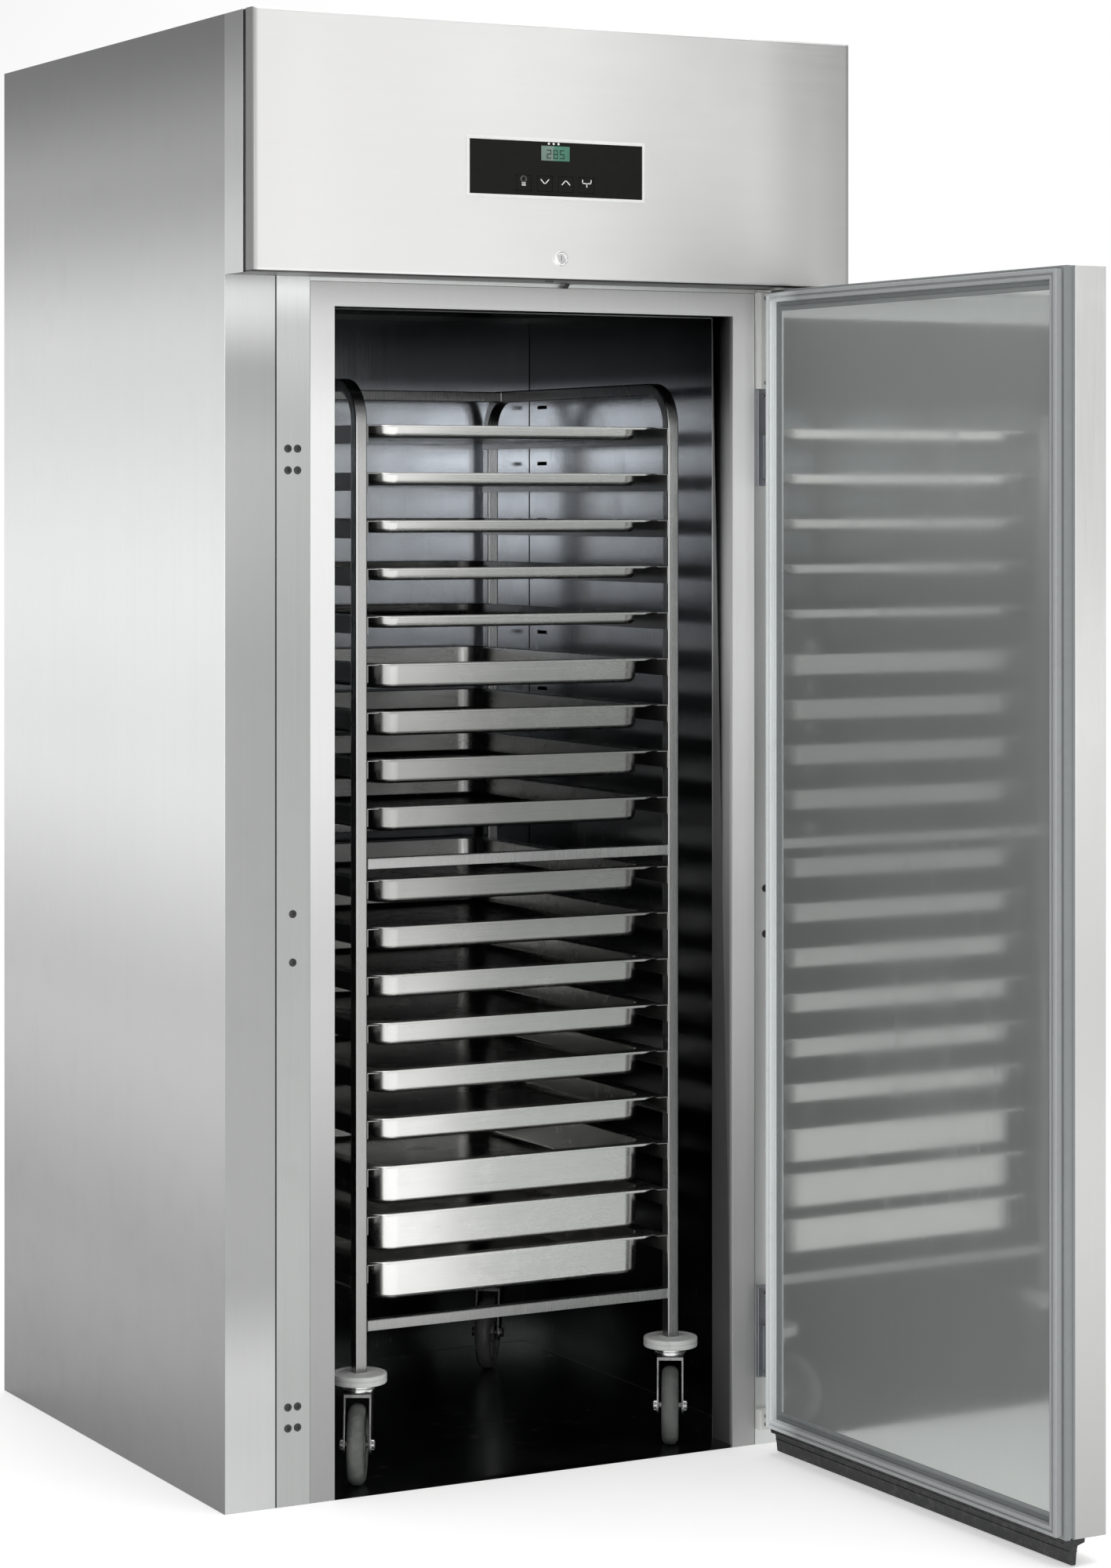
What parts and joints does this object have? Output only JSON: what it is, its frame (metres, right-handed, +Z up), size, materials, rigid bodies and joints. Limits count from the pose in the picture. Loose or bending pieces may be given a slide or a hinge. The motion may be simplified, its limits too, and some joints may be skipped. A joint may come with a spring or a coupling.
{
  "type": "proofing cabinet",
  "caption": "Roll-in proofing cabinet with a side-hinged insulated door, a control header, air ducts and a castor trolley loaded with pans.",
  "frame": {"origin": "centre of the cabinet footprint on the floor, on the underside of the floor plate", "axes": "+Z up, +Y towards the back of the cabinet, +X towards the hinge side"},
  "size_m": [1.05, 1.7994, 2.27],
  "materials": {
    "brushed_steel": "vertical brushed stainless steel, satin",
    "inner_steel": "bright stainless sheet, slightly blurred mirror",
    "foam": "polyurethane foam, closed cell",
    "frame_aluminium": "satin anodised aluminium extrusion",
    "duct_steel": "bright stainless sheet",
    "black_plastic": "fine-grained matt",
    "display_black": "dark film over a glossy plate",
    "lcd": "green screen behind a clear cover",
    "bezel_grey": "satin light grey moulding",
    "control_plastic": "moulded housing",
    "lock_chrome": "polished nickel plate",
    "compressor_black": "black enamel",
    "fin_aluminium": "pressed fins",
    "fan_plastic": "moulded glass-filled plastic",
    "heater_steel": "sheathed element, heat tinted",
    "humidifier_steel": "welded stainless tank",
    "hinge_grey": "satin die-cast",
    "liner_mirror": "bright annealed stainless, blurred mirror",
    "profile_grey": "satin extruded plastic",
    "gasket_grey": "soft grey magnetic gasket",
    "sweep_rubber": "black rubber with fine ribs",
    "cup_plastic": "moulded recessed grip",
    "trolley_steel": "satin stainless tube",
    "runner_steel": "folded stainless sheet",
    "pan_steel": "drawn stainless, soft gloss",
    "bumper_grey": "moulded grey plastic",
    "fork_zinc": "zinc plated steel",
    "wheel_grey": "grey elastic tyre on a grey hub"
  },
  "bodies": {
    "cabinet": {"side_skin_left": "brushed_steel", "side_skin_right": "brushed_steel", "rear_skin": "brushed_steel", "insulation": "foam", "inner_liner": "inner_steel", "floor_plate": "inner_steel", "side_duct_panels": "duct_steel", "duct_panel_rear": "duct_steel", "jamb_covers": "brushed_steel", "hole_plugs": "black_plastic", "door_frame": "frame_aluminium", "header_cheeks": "brushed_steel", "header_panel": "brushed_steel", "top_cover": "brushed_steel", "display_bezel": "bezel_grey", "display_window": "display_black", "lcd_screen": "lcd", "control_box": "control_plastic", "lock_body": "lock_chrome", "door_switch": "black_plastic", "compressor": "compressor_black", "condenser": "fin_aluminium", "evaporator": "fin_aluminium", "heater": "heater_steel", "humidifier": "humidifier_steel", "hinge_brackets": "hinge_grey", "hinge_covers": "bezel_grey"},
    "door": {"door_skin": "brushed_steel", "door_core": "foam", "door_liner": "liner_mirror", "door_profile": "profile_grey", "door_gasket": "gasket_grey", "door_sweep": "sweep_rubber", "handle_cup": "cup_plastic", "hinge_leaves": "hinge_grey"},
    "trolley": {"trolley_side_left": "trolley_steel", "trolley_side_right": "trolley_steel", "cross_bars": "trolley_steel", "runners": "runner_steel", "bumpers": "bumper_grey", "pans_shallow": "pan_steel", "pans_medium": "pan_steel", "pans_deep": "pan_steel"},
    "circulation_fan": {"circulation_fan": "fan_plastic"},
    "condenser_fan": {"condenser_fan": "fan_plastic"},
    "key_down": {"key_down": "display_black"},
    "key_mode": {"key_mode": "display_black"},
    "key_program": {"key_program": "display_black"},
    "key_up": {"key_up": "display_black"},
    "lock_bolt": {"lock_bolt": "trolley_steel"},
    "lock_plug": {"lock_plug": "lock_chrome"},
    "switch_lever": {"switch_lever": "black_plastic"},
    "fork_front_left": {"castor_fork_front_left": "fork_zinc"},
    "wheel_front_left": {"castor_wheel_front_left": "wheel_grey"},
    "fork_front_right": {"castor_fork_front_right": "fork_zinc"},
    "wheel_front_right": {"castor_wheel_front_right": "wheel_grey"},
    "fork_rear_left": {"castor_fork_rear_left": "fork_zinc"},
    "wheel_rear_left": {"castor_wheel_rear_left": "wheel_grey"},
    "fork_rear_right": {"castor_fork_rear_right": "fork_zinc"},
    "wheel_rear_right": {"castor_wheel_rear_right": "wheel_grey"}
  },
  "joints": [
    {"name": "door_hinge", "type": "hinge", "parent": "cabinet", "child": "door", "pos_m": [0.431, -0.518, 1], "axis": [0, 0, 1], "range_deg": [-91, 29]},
    {"name": "trolley_roll", "type": "slide", "parent": "cabinet", "child": "trolley", "axis": [0, -1, 0], "range_m": [0, 1.1]},
    {"name": "lock_turn", "type": "hinge", "parent": "cabinet", "child": "lock_plug", "pos_m": [-0.005, -0.581, 1.909], "axis": [0, 1, 0], "range_deg": [-90, 0]},
    {"name": "lock_bolt_slide", "type": "slide", "parent": "cabinet", "child": "lock_bolt", "axis": [0, 0, 1], "range_m": [-0.012, 0]},
    {"name": "switch_press", "type": "hinge", "parent": "cabinet", "child": "switch_lever", "pos_m": [0.059, -0.485, 1.887], "axis": [1, 0, 0], "range_deg": [0, 6], "stiffness_Nm_per_rad": 0.06},
    {"name": "key_program_press", "type": "slide", "parent": "cabinet", "child": "key_program", "axis": [0, 1, 0], "range_m": [0, 0.0008], "stiffness_N_per_m": 900},
    {"name": "key_down_press", "type": "slide", "parent": "cabinet", "child": "key_down", "axis": [0, 1, 0], "range_m": [0, 0.0008], "stiffness_N_per_m": 900},
    {"name": "key_up_press", "type": "slide", "parent": "cabinet", "child": "key_up", "axis": [0, 1, 0], "range_m": [0, 0.0008], "stiffness_N_per_m": 900},
    {"name": "key_mode_press", "type": "slide", "parent": "cabinet", "child": "key_mode", "axis": [0, 1, 0], "range_m": [0, 0.0008], "stiffness_N_per_m": 900},
    {"name": "condenser_fan_spin", "type": "hinge", "parent": "cabinet", "child": "condenser_fan", "pos_m": [0.25, -0.25, 2.1], "axis": [0, 1, 0], "continuous": true},
    {"name": "circulation_fan_spin", "type": "hinge", "parent": "cabinet", "child": "circulation_fan", "pos_m": [0.014, 0.309, 0.7], "axis": [0, 1, 0], "continuous": true},
    {"name": "castor_swivel_front_left", "type": "hinge", "parent": "trolley", "child": "fork_front_left", "pos_m": [-0.2595, -0.389, 0.14], "axis": [0, 0, 1], "range_deg": [-20, 270]},
    {"name": "castor_roll_front_left", "type": "hinge", "parent": "fork_front_left", "child": "wheel_front_left", "pos_m": [-0.2735, -0.41325, 0.0655], "axis": [0.866, -0.5, 0], "continuous": true},
    {"name": "castor_swivel_front_right", "type": "hinge", "parent": "trolley", "child": "fork_front_right", "pos_m": [0.3025, -0.389, 0.14], "axis": [0, 0, 1], "range_deg": [-211, 64]},
    {"name": "castor_roll_front_right", "type": "hinge", "parent": "fork_front_right", "child": "wheel_front_right", "pos_m": [0.28808, -0.413, 0.0655], "axis": [0.8572, -0.515, 0], "continuous": true},
    {"name": "castor_swivel_rear_left", "type": "hinge", "parent": "trolley", "child": "fork_rear_left", "pos_m": [-0.2595, 0.249, 0.14], "axis": [0, 0, 1], "continuous": true},
    {"name": "castor_roll_rear_left", "type": "hinge", "parent": "fork_rear_left", "child": "wheel_rear_left", "pos_m": [-0.27089, 0.22342, 0.0655], "axis": [0.9135, -0.4067, 0], "continuous": true},
    {"name": "castor_swivel_rear_right", "type": "hinge", "parent": "trolley", "child": "fork_rear_right", "pos_m": [0.3025, 0.249, 0.14], "axis": [0, 0, 1], "continuous": true},
    {"name": "castor_roll_rear_right", "type": "hinge", "parent": "fork_rear_right", "child": "wheel_rear_right", "pos_m": [0.28526, 0.22694, 0.0655], "axis": [0.788, -0.6157, 0], "continuous": true}
  ],
  "couplings": [
    {"joint": "lock_bolt_slide", "follows": "lock_turn", "m_per_rad": 0.0076394}
  ]
}
